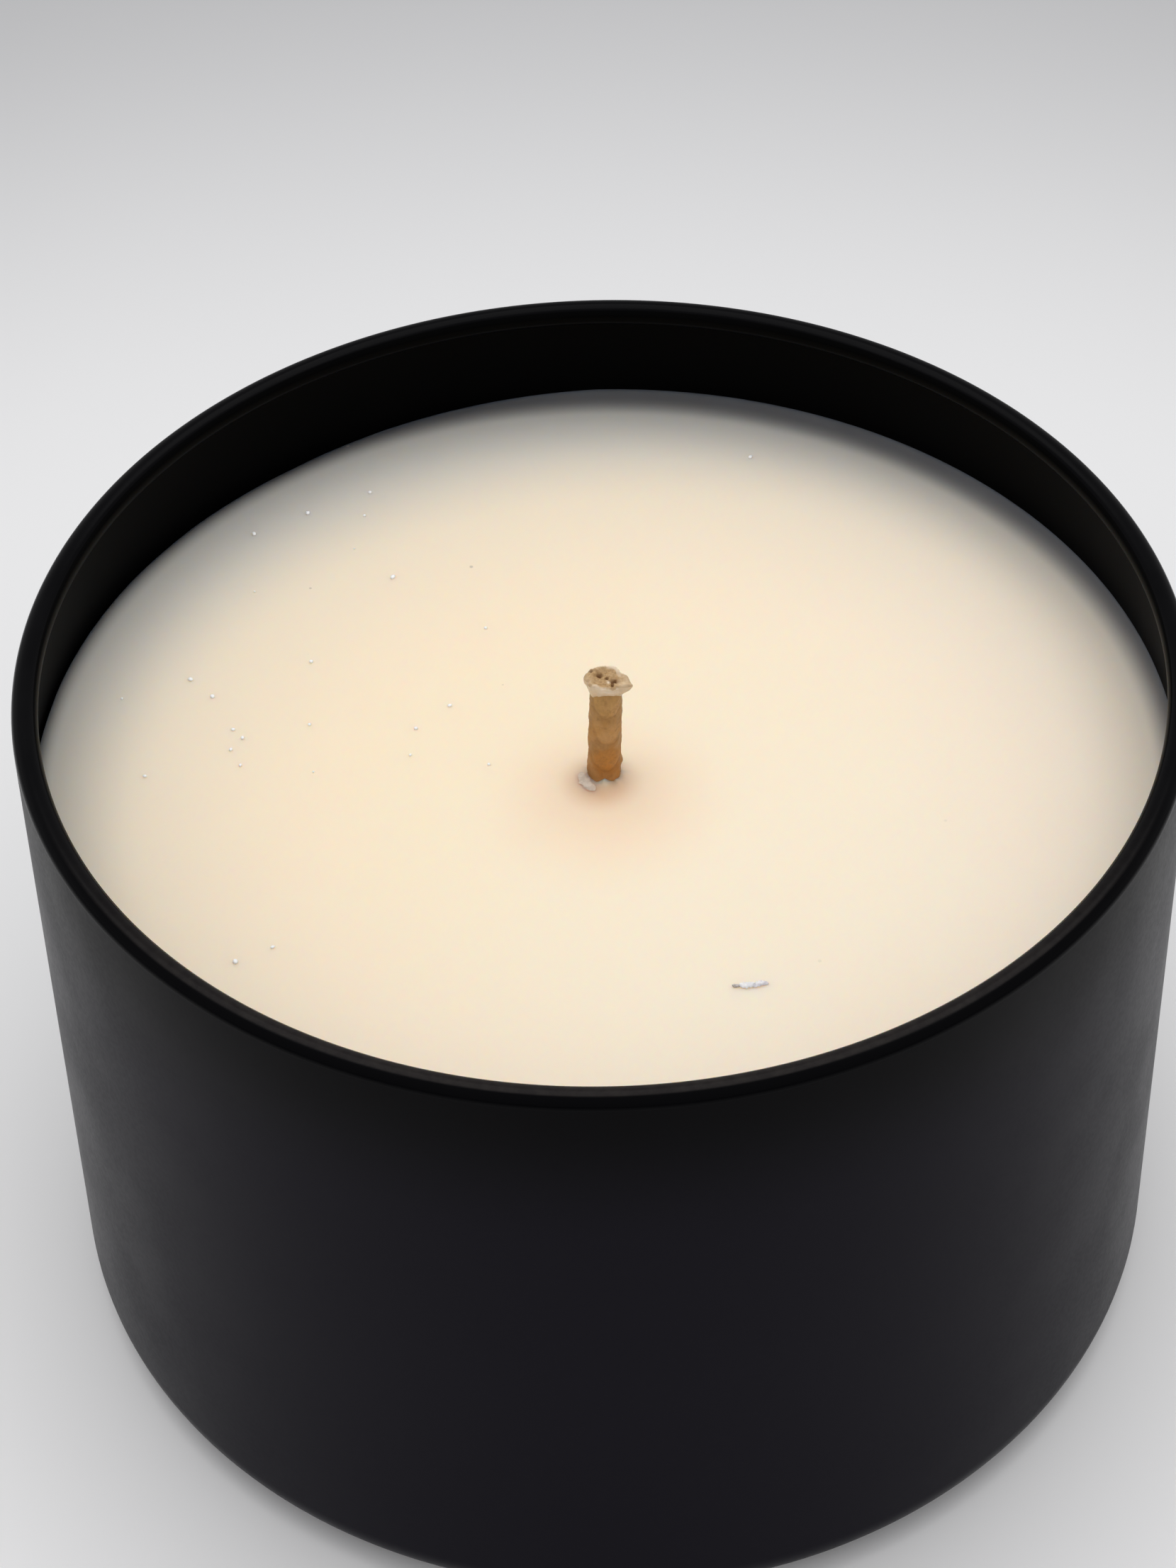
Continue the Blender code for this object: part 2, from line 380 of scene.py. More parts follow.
def cotton_material():
    """Waxed cotton: darker and redder towards the wax, with painted shade in the creases and along the
    sides, fine fibres.
    """
    n = Nodes("waxed_cotton")
    upward = n.ramp(n.axis("Z"), WAX_LEVEL, TIP_LOW.z)
    stretched = n.vector("MULTIPLY", n.point, (1.0, 1.0, 0.35))
    fibre = n.noise(5200.0, 3.0, 0.6, stretched)
    patch = n.noise(620.0, 2.0)
    stain = n.noise(430.0, 3.0, 0.6)
    color = n.mix(upward, rgb(0.54, 0.225, 0.045), rgb(0.57, 0.345, 0.125))
    color = n.mix(n.ramp(patch, 0.40, 0.65, 0.0, 0.6), color, rgb(0.60, 0.37, 0.17))
    color = n.mix(n.ramp(stain, 0.48, 0.70, 0.0, 0.5), color, rgb(0.30, 0.17, 0.055))
    grime = n.ramp(n.noise(2100.0, 4.0, 0.7), 0.45, 0.75, 0.0, 0.5)
    color = n.mix(grime, color, rgb(0.27, 0.145, 0.045))
    # Painted shade in the creases and along the wick's sides, where the painted crown values are low.
    crease = n.ramp(n.painted("crown"), 0.75, 0.05, 0.0, 0.42)
    color = n.mix(crease, color, rgb(0.22, 0.10, 0.03))
    color = n.mix(n.ramp(fibre, 0.35, 0.65, 0.12, 0.0), color, rgb(0.22, 0.10, 0.03))
    return n.finish(
        Base_Color=color,
        Roughness=n.ramp(fibre, 0.3, 0.7, 0.42, 0.62),
        Normal=n.bump(fibre, 0.22, 0.00006),
        Subsurface_Weight=0.25,
        Subsurface_Radius=(1.0, 0.6, 0.3),
        Subsurface_Scale=0.0003,
        Specular_IOR_Level=0.2,
    )


def lip_material():
    """Priming wax over the cut end: white where it is thick, tan over the cotton, and brown in the pits,
    where bare cotton is painted darker as shade.
    """
    n = Nodes("priming_wax")
    patch = n.noise(1500.0, 3.0, 0.6)
    fibre = n.noise(5200.0, 3.0, 0.6)
    color = n.mix(n.ramp(patch, 0.35, 0.65), rgb(0.62, 0.44, 0.26), rgb(0.74, 0.58, 0.38))
    color = n.mix(n.painted("thick"), color, rgb(0.83, 0.70, 0.54))
    yarn = n.mix(n.ramp(fibre, 0.35, 0.65), rgb(0.35, 0.21, 0.085), rgb(0.48, 0.31, 0.145))
    color = n.mix(n.painted("cotton"), color, yarn)
    # The pits: bare cotton, painted darker as shade in the hollows.
    color = n.mix(n.painted("pit"), color, rgb(0.17, 0.075, 0.022))
    return n.finish(
        Base_Color=color,
        Roughness=n.ramp(patch, 0.3, 0.7, 0.35, 0.5),
        Normal=n.bump(fibre, 0.3, 0.00005),
        Subsurface_Weight=0.4,
        Subsurface_Radius=(1.0, 0.8, 0.6),
        Subsurface_Scale=0.0002,
        Specular_IOR_Level=0.3,
    )


def tinplate_material():
    """Bare tinplate with fine rolling lines."""
    n = Nodes("tinplate")
    stretched = n.vector("MULTIPLY", n.point, (1.0, 14.0, 1.0))
    lines = n.noise(900.0, 2.0, 0.6, stretched)
    color = n.mix(lines, rgb(0.50, 0.50, 0.49), rgb(0.68, 0.68, 0.66))
    return n.finish(
        Base_Color=color,
        Metallic=1.0,
        Roughness=n.ramp(lines, 0.3, 0.7, 0.26, 0.40),
        Normal=n.bump(lines, 0.12, 0.00002),
    )


def foam_material():
    """White closed-cell foam."""
    n = Nodes("adhesive_foam")
    voronoi = n.add("ShaderNodeTexVoronoi", {"Vector": n.point, "Scale": 5000.0})
    cells = voronoi.outputs["Distance"]
    color = n.mix(cells, rgb(0.66, 0.66, 0.64), rgb(0.84, 0.84, 0.82))
    return n.finish(
        Base_Color=color,
        Roughness=n.ramp(cells, 0.0, 0.8, 0.7, 0.85),
        Normal=n.bump(cells, 0.4, 0.00008),
    )


def floor_material():
    """A pale matt floor, with painted light making it lighter in front of the tin and painted shade making
    it darker far away.
    """
    n = Nodes("pale_floor")
    tone = n.noise(9.0, 3.0)
    color = n.mix(tone, rgb(0.79, 0.79, 0.793), rgb(0.81, 0.81, 0.813))
    # Painted light: a lighter band in front of the tin.
    color = n.mix(n.ramp(n.axis("Y"), 0.05, -0.04), color, rgb(0.975, 0.97, 0.972))
    # Painted shade: the floor darkens far from the tin.
    far = n.ramp(n.radius_from(0.0, -0.04), 0.115, 0.24)
    color = n.mix(far, color, rgb(0.43, 0.43, 0.438))
    return n.finish(
        Base_Color=color,
        Roughness=0.85,
        Normal=n.bump(n.noise(1500.0, 2.0), 0.03, 0.0001),
        Specular_IOR_Level=0.2,
    )


# ---------------------------------------------------------------- mesh helpers


def arc(center, radius, start_deg, end_deg, segments):
    """Points (r, z) on an arc, counted anticlockwise from +r."""
    angles = np.radians(np.linspace(start_deg, end_deg, segments + 1))
    return [(center[0] + radius * math.cos(a), center[1] + radius * math.sin(a)) for a in angles]


def offset_line(line, distance):
    """The open line moved sideways, to its right when the distance is positive."""
    moved = []
    for i, point in enumerate(line):
        here = Vector(point)
        before = (here - Vector(line[i - 1])).normalized() if i else None
        after = (Vector(line[i + 1]) - here).normalized() if i + 1 < len(line) else None
        before = before or after
        after = after or before
        along = (before + after).normalized()
        side = Vector((along.y, -along.x))
        moved.append(tuple(here + side * distance / along.dot(before)))
    return moved


def clamp(value):
    return max(0.0, min(1.0, value))


def bell(value, width):
    """1 at 0, falling off smoothly on both sides."""
    return math.exp(-((value / width) ** 2))


def turn_between(angle, other):
    """The signed angle from other to angle, between minus and plus half a turn."""
    return (angle - other + math.pi) % math.tau - math.pi


def bell_at(angle, middle_deg, width):
    """1 in one direction, falling off smoothly on both sides of it."""
    return bell(turn_between(angle, math.radians(middle_deg)), width)


def round_noise(angle, layer, scale):
    """Noise along a circle, which closes after a full turn."""
    return noise.noise(Vector((math.cos(angle), math.sin(angle), layer)) * scale)


def add_piece(name, mesh, material, replaced=None):
    """Puts a mesh on the body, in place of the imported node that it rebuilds, if there is one."""
    piece = bpy.data.objects.new(name, mesh)
    bpy.context.scene.collection.objects.link(piece)
    mesh.materials.append(material)
    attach(piece, BODY)
    if replaced:
        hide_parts(replaced)
    return piece


def finished_mesh(name, bm, sharp_deg=40):
    """A mesh with its faces outward, smooth except at edges sharper than sharp_deg."""
    bmesh.ops.recalc_face_normals(bm, faces=bm.faces)
    mesh = bpy.data.meshes.new(name)
    bm.to_mesh(mesh)
    bm.free()
    mesh.shade_smooth()
    mesh.set_sharp_from_angle(angle=math.radians(sharp_deg))
    return mesh


def ring_mesh(name, rings, closed_end=False, sharp_deg=40):
    """A skin over rings of equal point counts. The last ring joins the first unless the ends are closed."""
    bm = bmesh.new()
    loops = [[bm.verts.new(point) for point in ring] for ring in rings]
    count = len(rings[0])
    pairs = list(zip(loops, loops[1:]))
    if not closed_end:
        pairs.append((loops[-1], loops[0]))
    for lower, upper in pairs:
        for i in range(count):
            j = (i + 1) % count
            bm.faces.new((lower[i], lower[j], upper[j], upper[i]))
    if closed_end:
        bm.faces.new(loops[0][::-1])
        bm.faces.new(loops[-1])
    return finished_mesh(name, bm, sharp_deg)


def paint(mesh, name, values):
    """Puts one number on each point of the mesh, for its material to read."""
    mesh.attributes.new(name, "FLOAT", "POINT").data.foreach_set("value", values)


def circle(center_x, center_y, radius, z, steps):
    """Points on a level circle."""
    turn = np.linspace(0.0, math.tau, steps, endpoint=False)
    return [(center_x + radius * math.cos(a), center_y + radius * math.sin(a), z) for a in turn]


# ---------------------------------------------------------------- tin


def tin_centreline():
    """Points (r, z) along the middle of the sheet: panel, foot, base corner, wall and curl."""
    half = SHEET / 2
    bend_angle = math.degrees(math.acos(1 - PANEL_RISE / (2 * PANEL_BEND)))
    bend_run = PANEL_BEND * math.sin(math.radians(bend_angle))
    foot_outer = TIN_RADIUS - CORNER_RADIUS
    foot_inner = foot_outer - FOOT_WIDTH
    panel_edge = foot_inner - 2 * bend_run
    line = [(0.0, half + PANEL_RISE)]
    upper_bend = (panel_edge, half + PANEL_RISE - PANEL_BEND)
    line += arc(upper_bend, PANEL_BEND, 90, 90 - bend_angle, 6)
    lower_bend = (foot_inner, half + PANEL_BEND)
    line += arc(lower_bend, PANEL_BEND, 270 - bend_angle, 270, 6)[1:]
    line += arc((foot_outer, CORNER_RADIUS), CORNER_RADIUS - half, -90, 0, 16)
    curl = (TIN_RADIUS - CURL_RADIUS, TIN_HEIGHT - CURL_RADIUS)
    wall_cuts = 8
    wall_heights = np.linspace(CORNER_RADIUS, curl[1], wall_cuts + 1)[1:-1]
    line += [(TIN_RADIUS - half, z) for z in wall_heights]
    line += arc(curl, CURL_RADIUS - half, 0, CURL_SWEEP_DEG, 39)
    return line


def coat_of(face):
    """0 for the outer wall and the foot, 1 for the top of the curl, 2 for the lining inside it."""
    x, y, z = face.center
    up = z - (TIN_HEIGHT - CURL_RADIUS)
    inward = (TIN_RADIUS - CURL_RADIUS) - math.hypot(x, y)
    if up > max(0.0, inward):
        return 1
    outward = face.normal.x * x + face.normal.y * y > 0
    underside = face.normal.z < -0.2
    return 0 if outward or underside else 2


def build_tin():
    """The sheet's outline spun round the axis, with one coat for each of its three surfaces."""
    line = tin_centreline()
    outline = offset_line(line, SHEET / 2) + offset_line(line, -SHEET / 2)[::-1]
    bm = bmesh.new()
    points = [bm.verts.new((max(r, 0.0), 0.0, z)) for r, z in outline]
    edges = [bm.edges.new(pair) for pair in zip(points, points[1:])]
    bmesh.ops.spin(
        bm,
        geom=points + edges,
        cent=(0, 0, 0),
        axis=(0, 0, 1),
        angle=math.tau,
        steps=TIN_STEPS,
        use_merge=True,
    )
    bmesh.ops.remove_doubles(bm, verts=bm.verts, dist=1e-7)
    mesh = finished_mesh("tin_shell", bm, 50)
    add_piece("tin_shell", mesh, tin_coating(), "tin_body")
    mesh.materials.append(rim_coating())
    mesh.materials.append(tin_lining())
    mesh.polygons.foreach_set("material_index", [coat_of(face) for face in mesh.polygons])


# ---------------------------------------------------------------- wax


def shrunk(angle):
    """1 on the left, where the wax has come away from the wall, to 0 at the back and on the right."""
    away = abs(turn_between(angle, math.radians(165)))
    return clamp((math.radians(75) - away) / math.radians(35))


def wax_reach(angle):
    """How far out the wax goes in one direction."""
    ragged = 0.25 * round_noise(angle, 0.0, 9.0)
    return WAX_RADIUS - SHRINK * shrunk(angle) * (1.0 + ragged)


def wax_height(x, y):
    """The poured surface above its level: its edge, soft waves, and the mound round the wick."""
    angle = math.atan2(y, x)
    from_edge = wax_reach(angle) - math.hypot(x, y)
    left = shrunk(angle)
    climb = clamp(1.0 - from_edge / MENISCUS_WIDTH)
    shoulder = clamp(1.0 - from_edge / SHOULDER_WIDTH)
    height = MENISCUS_CLIMB * climb**2.5 * (1.0 - left) - SHOULDER_DROP * shoulder**2 * left
    slow = noise.noise(Vector((x, y, 0.0)) * 45.0) * 0.05
    quick = noise.noise(Vector((x, y, 3.0)) * 160.0) * 0.012
    height += (slow + quick) * MM * clamp(from_edge / (3 * MM))
    return height + wick_mound(x - WICK_X, y - WICK_Y)


def wick_mound(x, y):
    """Wax drawn up round the wick: most at the front, where a bit of it sticks to the cotton."""
    angle = math.atan2(y, x)
    ragged = 1.0 + 0.35 * round_noise(angle, 4.0, 1.7)
    near = clamp(1.0 - (math.hypot(x, y) - WICK_BORE) / (1.5 * MM * ragged))
    front = bell_at(angle, -90, 0.32)
    rough = round_noise(angle, 9.0, 4.5)
    top = 0.10 + 0.40 * front + 0.10 * rough
    return top * MM * near**2.2


def wax_rings():
    """From the edge of the wick's bore, over the surface, down the wall and back under the block."""
    turn = np.linspace(0.0, math.tau, WAX_STEPS, endpoint=False)
    rings = []
    for k in range(WAX_RINGS + 1):
        share = k / WAX_RINGS
        share = 0.62 * share**2.2 + 0.38 * (1.0 - (1.0 - share) ** 2.4)
        ring = []
        for a in turn:
            reach = wax_reach(a)
            x = (WICK_X + WICK_BORE * math.cos(a)) * (1 - share) + reach * math.cos(a) * share
            y = (WICK_Y + WICK_BORE * math.sin(a)) * (1 - share) + reach * math.sin(a) * share
            ring.append((x, y, WAX_LEVEL + wax_height(x, y)))
        rings.append(ring)
    foot = TIN_RADIUS - CORNER_RADIUS
    for r, z in arc((foot, CORNER_RADIUS), CORNER_RADIUS - SHEET, 0, -90, 8):
        rings.append(circle(0.0, 0.0, r - WAX_CLEARANCE, z + WAX_CLEARANCE, WAX_STEPS))
    panel = foot - FOOT_WIDTH
    above_panel = WAX_LOW.z + PANEL_RISE
    rings.append(circle(0.0, 0.0, panel, SHEET + 0.1 * MM, WAX_STEPS))
    rings.append(circle(0.0, 0.0, panel - 1.2 * MM, above_panel, WAX_STEPS))
    ledge = PLATE_LOW.z + 1.1 * MM
    pocket = [
        (POCKET_RADIUS, above_panel),
        (POCKET_RADIUS, ledge),
        (3.0 * MM, ledge),
        (2.2 * MM, POCKET_TOP),
        (WICK_BORE, POCKET_TOP + 1.5 * MM),
    ]
    return rings + [circle(WICK_X, WICK_Y, r, z, WAX_STEPS) for r, z in pocket]


def build_wax():
    """The poured block, open where the wick and its sustainer stand in it."""
    mesh = ring_mesh("wax_block", wax_rings())
    add_piece("wax_block", mesh, wax_material(), "wax_fill")


def shard(name, place, size, bend, heading, lift, material):
    """A thin ragged piece of wax lying on the surface, bent sideways, with its far side lifted."""
    length, width, thickness = size
    long_cuts, wide_cuts = 40, 12
    rows = []
    for side in (1.0, -1.0):
        for i in range(wide_cuts + 1):
            v = side * (i / wide_cuts * 2.0 - 1.0)
            row = []
            for j in range(long_cuts + 1):
                u = j / long_cuts * 2.0 - 1.0
                end = 0.4 * noise.noise(Vector((u * 2.1, side * v * 0.5, length / MM)))
                ragged = 1.0 + end + 0.3 * noise.noise(Vector((u * 8.0, v, width / MM)))
                taper = math.sqrt(max(0.0, 1.0 - abs(u) ** 3)) * ragged
                lump = 1.0 + 0.6 * noise.noise(Vector((u * 3.0, v * 1.5, 5.0)))
                x = u * length / 2
                y = v * taper * width / 2 + bend * length * u * u
                z = side * lump * thickness / 2 * math.sqrt(max(0.0, 1.0 - v * v))
                row.append(Vector((x, y, z + lift * (v + 1.0) * taper * width / 2)))
            rows.append(row)
    spin = Matrix.Rotation(heading, 3, "Z")
    ground = Vector((*place, WAX_LEVEL + wax_height(*place) + 0.4 * thickness))
    bm = bmesh.new()
    loops = [[bm.verts.new(spin @ point + ground) for point in row] for row in rows]
    for lower, upper in zip(loops, loops[1:] + loops[:1]):
        for a, b, c, d in zip(lower, lower[1:], upper[1:], upper):
            bm.faces.new((a, b, c, d))
    bmesh.ops.remove_doubles(bm, verts=bm.verts, dist=0.002 * MM)
    bmesh.ops.holes_fill(bm, edges=[e for e in bm.edges if e.is_boundary], sides=0)
    return add_piece(name, finished_mesh(name, bm, 60), material)


def build_crumbs(material):
    """Tiny white crumbs of wax, most of them to the left of the wick."""
    nearest, reach = CRUMB_FIELD_MM
    bm = bmesh.new()
    for _ in range(CRUMBS):
        angle = random.gauss(CRUMB_SIDE, CRUMB_SPREAD)
        radius = (nearest + reach * math.sqrt(random.random())) * MM
        x, y = radius * math.cos(angle), radius * math.sin(angle)
        size = random.uniform(*CRUMB_RADIUS_MM) * MM
        place = Vector((x, y, WAX_LEVEL + wax_height(x, y) + 0.2 * size))
        stretch = Matrix.Diagonal((random.uniform(0.8, 1.4), 1.0, 0.75, 1.0))
        turn = Matrix.Rotation(random.uniform(0, math.tau), 4, "Z")
        bmesh.ops.create_icosphere(
            bm, subdivisions=2, radius=size, matrix=Matrix.Translation(place) @ turn @ stretch
        )
    add_piece("wax_crumbs", finished_mesh("wax_crumbs", bm), material)


def build_loose_wax():
    """A cracked fleck near the front, a thin film beside the wick, and crumbs."""
    white = flake_material("white_wax", rgb(0.80, 0.77, 0.79), rgb(0.98, 0.97, 0.97))
    lavender = flake_material("pale_wax", rgb(0.58, 0.54, 0.58), rgb(0.90, 0.87, 0.90))
    dull = flake_material("dull_wax", rgb(0.34, 0.29, 0.26), rgb(0.62, 0.57, 0.56))
    film = flake_material("wax_film", rgb(0.64, 0.49, 0.37), rgb(0.77, 0.61, 0.47))
    x, y = FLECK_PLACE
    shard("fleck_left", (x - 0.95 * MM, y), (0.6 * MM, 0.30 * MM, 0.08 * MM), 0.1, 0.0, 0.1, dull)
    shard("fleck_middle", (x - 0.25 * MM, y), (1.1 * MM, 0.46 * MM, 0.12 * MM), 0.1, 0.1, 0.15, white)
    right = (x + 0.60 * MM, y + 0.14 * MM)
    shard("fleck_right", right, (1.1 * MM, 0.40 * MM, 0.09 * MM), -0.1, 0.25, 0.2, lavender)
    beside_wick = FLAKE_PLACE + Vector((WICK_X, WICK_Y))
    heading = math.radians(-62)
    shard("wax_flake", beside_wick, (2.1 * MM, 0.62 * MM, 0.05 * MM), 0.10, heading, 0.16, film)
    build_crumbs(crumb_material())


# ---------------------------------------------------------------- wick


def stitch_crown(angle, z):
    """1 on the crown of a stitch, 0 in a crease. Each stitch hangs over the one below, like a tile."""
    spot = Vector((math.cos(angle), math.sin(angle), z / STITCH_PITCH))
    angle += 0.28 * noise.noise(spot * 1.1)
    z += 0.16 * STITCH_PITCH * noise.noise(spot * 1.6 + Vector((7.0, 0.0, 0.0)))
    best = 0.0
    for column in range(STITCH_COLUMNS):
        middle = STITCH_TURN + column * math.tau / STITCH_COLUMNS
        across = turn_between(angle, middle) / math.radians(80)
        if abs(across) >= 1.0:
            continue
        rise = 0.75 * STITCH_PITCH * across**2
        up = ((z - rise) / STITCH_PITCH + 0.5 * (column > 0)) % 1.0
        lip = clamp(up / 0.34)
        profile = lip * (2.0 - lip) * (1.0 - 0.75 * up)
        best = max(best, profile * math.sqrt(1.0 - across**2))
    return best


def wick_radius(angle, z, crown):
    """Distance from the wick's axis to its surface, above the wax."""
    share = clamp((z - WAX_LEVEL) / (BRAID_HIGH.z - WAX_LEVEL))
    half = WICK_HALF_LOW + (WICK_HALF_HIGH - WICK_HALF_LOW) * share
    spot = Vector((half * math.cos(angle), half * math.sin(angle), z))
    fray = 0.03 * noise.noise(spot * 800.0) + 0.035 * noise.noise(spot * 2200.0)
    fray += 0.02 * noise.noise(spot * 5200.0)
    above = (z - WAX_LEVEL) / MM
    drip = 0.12 * bell_at(angle, 2, 0.24) * bell(above - 1.1, 0.35)
    return half - STITCH_DEPTH * (1.0 - crown) + (fray + drip) * MM


def build_wick():
    """The plait, thinner in the sustainer's neck, stitched above the wax and leaning a little."""
    turn = np.linspace(0.0, math.tau, WICK_STEPS, endpoint=False)
    rings, crown_and_side_shade = [], []
    neck = PLATE_HIGH.z
    heights = [(PLATE_LOW.z, WICK_FOOT), (neck, WICK_FOOT), (neck + MM, WICK_HALF_LOW)]
    for z, radius in heights:
        rings.append(circle(WICK_X, WICK_Y, radius, z, WICK_STEPS))
        crown_and_side_shade += [1.0] * WICK_STEPS
    for z in np.arange(WAX_LEVEL - MM, PLAIT_TOP, WICK_CUT):
        lean = WICK_LEAN * max(0.0, z - WAX_LEVEL)
        ring = []
        for a in turn:
            crown = stitch_crown(a, z)
            radius = wick_radius(a, z, crown)
            ring.append((WICK_X + lean + radius * math.cos(a), WICK_Y + radius * math.sin(a), z))
            # The crown values are lowered on the wick's sides, facing plus and minus x, as painted shade.
            crown_and_side_shade.append(crown * (1.0 - 0.6 * abs(math.cos(a)) ** 6))
        rings.append(ring)
    mesh = ring_mesh("wick_plait", rings, closed_end=True, sharp_deg=75)
    paint(mesh, "crown", crown_and_side_shade)
    add_piece("wick_plait", mesh, cotton_material(), "wick_braid")


def lip_reach(angle):
    """Outline of the flared end, in mm: wider than deep, with one point drawn out to the right."""
    wide, deep = 1.52, 1.14
    oval = wide * deep / math.hypot(deep * math.cos(angle), wide * math.sin(angle))
    point = 0.34 * bell_at(angle, -17, 0.17)
    lobe = 0.10 * bell_at(angle, -139, 0.22)
    notch = 0.14 * bell_at(angle, -48, 0.15)
    notch += 0.12 * bell_at(angle, -160, 0.12)
    notch += 0.16 * bell_at(angle, 28, 0.30)
    ragged = 0.07 * noise.noise(Vector((math.cos(angle) * 2.6, math.sin(angle) * 2.6, 7.0)))
    fine = 0.04 * noise.noise(Vector((math.cos(angle) * 9.0, math.sin(angle) * 9.0, 2.0)))
    return oval + point + lobe - notch + ragged + fine


def pits_at(x, y):
    """Depth from 0 to 1 of the hollows between the cut yarns, in a row across the end."""
    depth = 0.0
    for share, size, deep in PITS:
        place = PIT_ROW[0].lerp(PIT_ROW[1], share)
        wobble = 1.0 + 0.3 * noise.noise(Vector((x, y, share)) * 5.0)
        away = math.hypot((x - place.x) / 1.3, y - place.y)
        depth = max(depth, deep * bell(away, size * wobble))
    trail = math.hypot((x - 0.40) / 0.6, (y + 0.52) / 2.1)
    return max(depth, 0.75 * bell(trail, 0.17))


def lip_face(x, y, share):
    """Height in mm of the cut end over its own level. share is 0 in the middle and 1 at the edge."""
    angle = math.atan2(y, x)
    tilt = -0.10 * x
    crescent = 0.16 * bell_at(angle, 62, 0.95) * bell(share - 0.93, 0.14)
    front = 0.07 * bell_at(angle, -100, 0.9) * bell(share - 0.88, 0.2)
    roll = -0.16 * clamp((share - 0.86) / 0.14) ** 2
    dish = -0.12 * (1.0 - share**2)
    lumps = 0.10 * noise.noise(Vector((x, y, 2.0)) * 2.2) + 0.045 * noise.noise(Vector((x, y, 5.0)) * 6.0)
    lumps += 0.012 * noise.noise(Vector((x, y, 7.0)) * 15.0)
    return tilt + crescent + front + roll + dish + lumps - 0.34 * pits_at(x, y)


def lip_look(x, y, share):
    """How much of the spot is thick white wax, bare cotton and open pit."""
    angle = math.atan2(y, x)
    torn = 0.16 * noise.noise(Vector((x, y, 1.0)) * 2.4)
    back = bell_at(angle, 72, 1.15) * clamp((share - 0.70 + torn) / 0.16)
    front = bell_at(angle, -100, 1.0) * clamp((share - 0.86 + torn) / 0.12)
    flake = bell(math.hypot(x - 0.14, (y + 0.30) / 1.4), 0.13)
    thick = clamp(back + front + flake)
    smooth = bell(math.hypot(x - 1.1, y + 0.5), 0.5) + 0.5 * bell(math.hypot(x + 1.2, y + 0.3), 0.4)
    cotton = (1.0 - thick) * clamp(1.0 - 0.75 * smooth + torn)
    return thick, cotton, clamp(1.3 * pits_at(x, y))


def lip_skirt(angle, share):
    """Radius and height in mm of the side of the lip: it rolls out quickly above the shaft."""
    reach = lip_reach(angle)
    hold = WICK_HALF_HIGH / MM - LIP_OVERLAP_MM
    around = Vector((math.cos(angle), math.sin(angle), 0.0))
    low = -1.02 - 0.36 * math.cos(2 * angle) + 0.14 * round_noise(angle, 0.0, 3.0)
    edge = lip_face(reach * around.x, reach * around.y, 1.0)
    swell = math.sin(share * math.pi / 2) ** 1.3
    lump = 0.10 * noise.noise(around * 3.0 + Vector((0.0, 0.0, share * 3.0)))
    radius = hold + (max(reach, hold + 0.05) - hold) * swell + lump * math.sin(share * math.pi)
    return radius, low + (edge - low) * share


def build_lip():
    """The flared, waxed end of the wick: a rolled side, and the cut face inside its edge."""
    steps, skirt_cuts, face_cuts = 200, 24, 46
    turn = np.linspace(0.0, math.tau, steps, endpoint=False)
    rings, looks = [], []
    for share in np.linspace(0.0, 1.0, skirt_cuts, endpoint=False):
        ring = []
        for a in turn:
            radius, height = lip_skirt(a, share)
            ring.append((radius * math.cos(a), radius * math.sin(a), height))
            white = bell_at(a, -95, 1.1) * clamp(0.3 + 1.4 * share)
            looks.append((clamp(0.15 + 0.85 * white), 0.0, 0.0))
        rings.append(ring)
    for share in np.linspace(1.0, 0.02, face_cuts):
        ring = []
        for a in turn:
            x, y = lip_reach(a) * share * math.cos(a), lip_reach(a) * share * math.sin(a)
            ring.append((x, y, lip_face(x, y, share)))
            looks.append(lip_look(x, y, share))
        rings.append(ring)
    center = Vector((WICK_X + WICK_LEAN * (LIP_Z - WAX_LEVEL), WICK_Y, LIP_Z))
    placed = [[center + Vector(point) * MM for point in ring] for ring in rings]
    mesh = ring_mesh("wick_lip", placed, closed_end=True, sharp_deg=70)
    for name, values in zip(("thick", "cotton", "pit"), zip(*looks)):
        paint(mesh, name, values)
    add_piece("wick_lip", mesh, lip_material(), "wick_wax_tip")


# ---------------------------------------------------------------- hidden nodes, stage, light, camera


def finish_hidden_nodes():
    """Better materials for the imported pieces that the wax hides."""
    finishes = {"wick_sustainer": tinplate_material(), "wick_sticker": foam_material()}
    for node, material in finishes.items():
        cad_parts[node].data.materials.clear()
        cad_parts[node].data.materials.append(material)


def build_stage():
    """A wide round floor, just clear of the tin's foot."""
    bm = bmesh.new()
    bmesh.ops.create_circle(bm, cap_ends=True, segments=96, radius=FLOOR_RADIUS)
    bmesh.ops.translate(bm, verts=bm.verts, vec=(0.0, 0.0, -FLOOR_GAP))
    mesh = bpy.data.meshes.new("floor")
    bm.to_mesh(mesh)
    bm.free()
    floor = bpy.data.objects.new("floor", mesh)
    bpy.context.scene.collection.objects.link(floor)
    mesh.materials.append(floor_material())


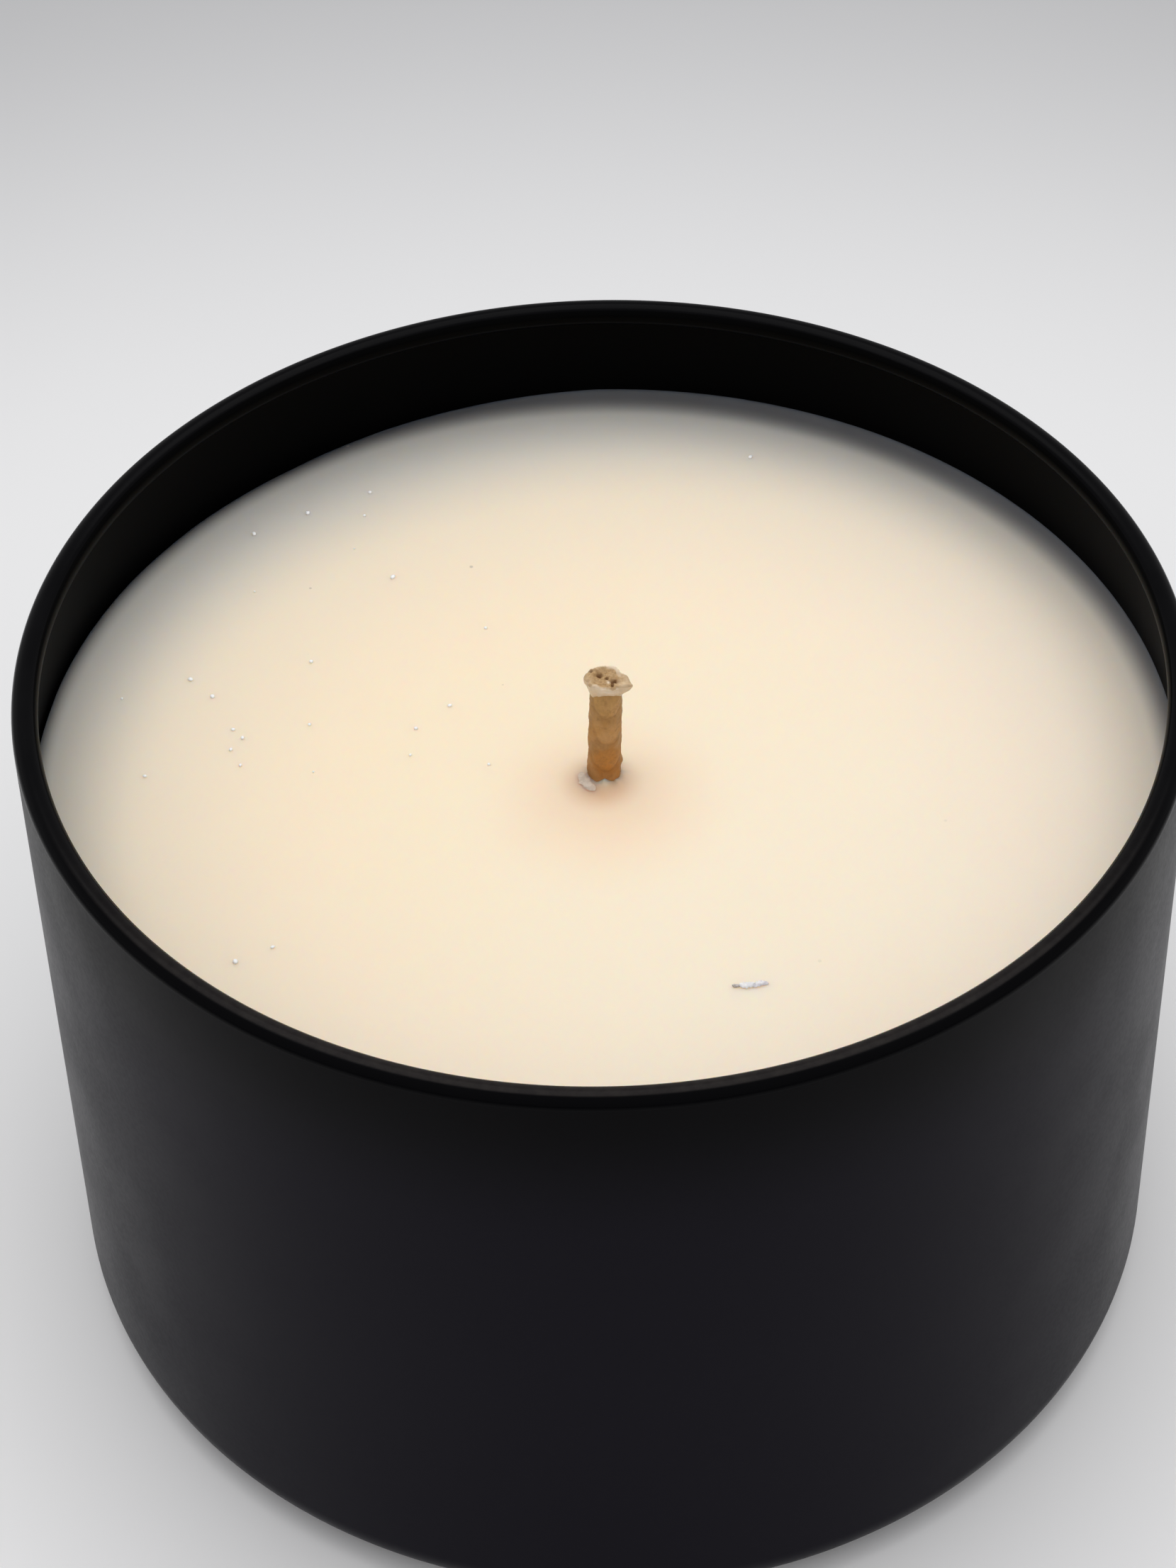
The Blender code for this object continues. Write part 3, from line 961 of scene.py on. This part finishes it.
def build_sky():
    """A broad soft sky, a little brighter overhead than low down."""
    world = bpy.data.worlds.new("studio")
    world.use_nodes = True
    nodes, links = world.node_tree.nodes, world.node_tree.links
    direction = nodes.new("ShaderNodeTexCoord").outputs["Generated"]
    towards = nodes.new("ShaderNodeVectorMath")
    towards.operation = "DOT_PRODUCT"
    towards.inputs[1].default_value = SKY_AXIS
    links.new(direction, towards.inputs[0])
    lobe = nodes.new("ShaderNodeMapRange")
    lobe.interpolation_type = "SMOOTHSTEP"
    limits = {"From Min": SKY_EDGE, "From Max": SKY_FULL, "To Min": SKY_DIM, "To Max": SKY_BRIGHT}
    for name, value in limits.items():
        lobe.inputs[name].default_value = value
    links.new(towards.outputs["Value"], lobe.inputs["Value"])
    background = nodes["Background"]
    background.inputs["Color"].default_value = rgb(1.0, 1.0, 1.01)
    links.new(lobe.outputs["Result"], background.inputs["Strength"])
    bpy.context.scene.world = world


def build_panel():
    """A soft panel overhead, whose front edge gives the highlights on the rim their crisp end."""
    data = bpy.data.lights.new("overhead_panel", "AREA")
    data.shape = "RECTANGLE"
    data.size, data.size_y = PANEL_SIZE
    data.energy = PANEL_POWER
    panel = bpy.data.objects.new("overhead_panel", data)
    panel.location = PANEL_PLACE
    bpy.context.scene.collection.objects.link(panel)


def build_camera():
    """A long lens looking down into the tin from in front."""
    pitch, yaw, roll = (math.radians(v) for v in (CAMERA_PITCH, CAMERA_YAW, CAMERA_ROLL))
    forward = Vector(
        (math.sin(yaw) * math.cos(pitch), math.cos(yaw) * math.cos(pitch), -math.sin(pitch))
    )
    right = Vector((math.cos(yaw), -math.sin(yaw), 0.0))
    up = right.cross(forward)
    right, up = (
        math.cos(roll) * right + math.sin(roll) * up,
        math.cos(roll) * up - math.sin(roll) * right,
    )
    data = bpy.data.cameras.new("camera")
    data.sensor_width = SENSOR
    data.lens = CAMERA_LENS
    data.clip_start, data.clip_end = 0.01, 20.0
    camera = bpy.data.objects.new("camera", data)
    camera.matrix_world = Matrix(
        [(*row, place) for row, place in zip(zip(right, up, -forward), CAMERA_PLACE)]
        + [(0.0, 0.0, 0.0, 1.0)]
    )
    bpy.context.scene.collection.objects.link(camera)
    bpy.context.scene.camera = camera


random.seed(7)
build_tin()
build_wax()
build_loose_wax()
build_wick()
build_lip()
finish_hidden_nodes()
build_stage()
build_sky()
build_panel()
build_camera()
bpy.context.scene.view_settings.view_transform = "Standard"
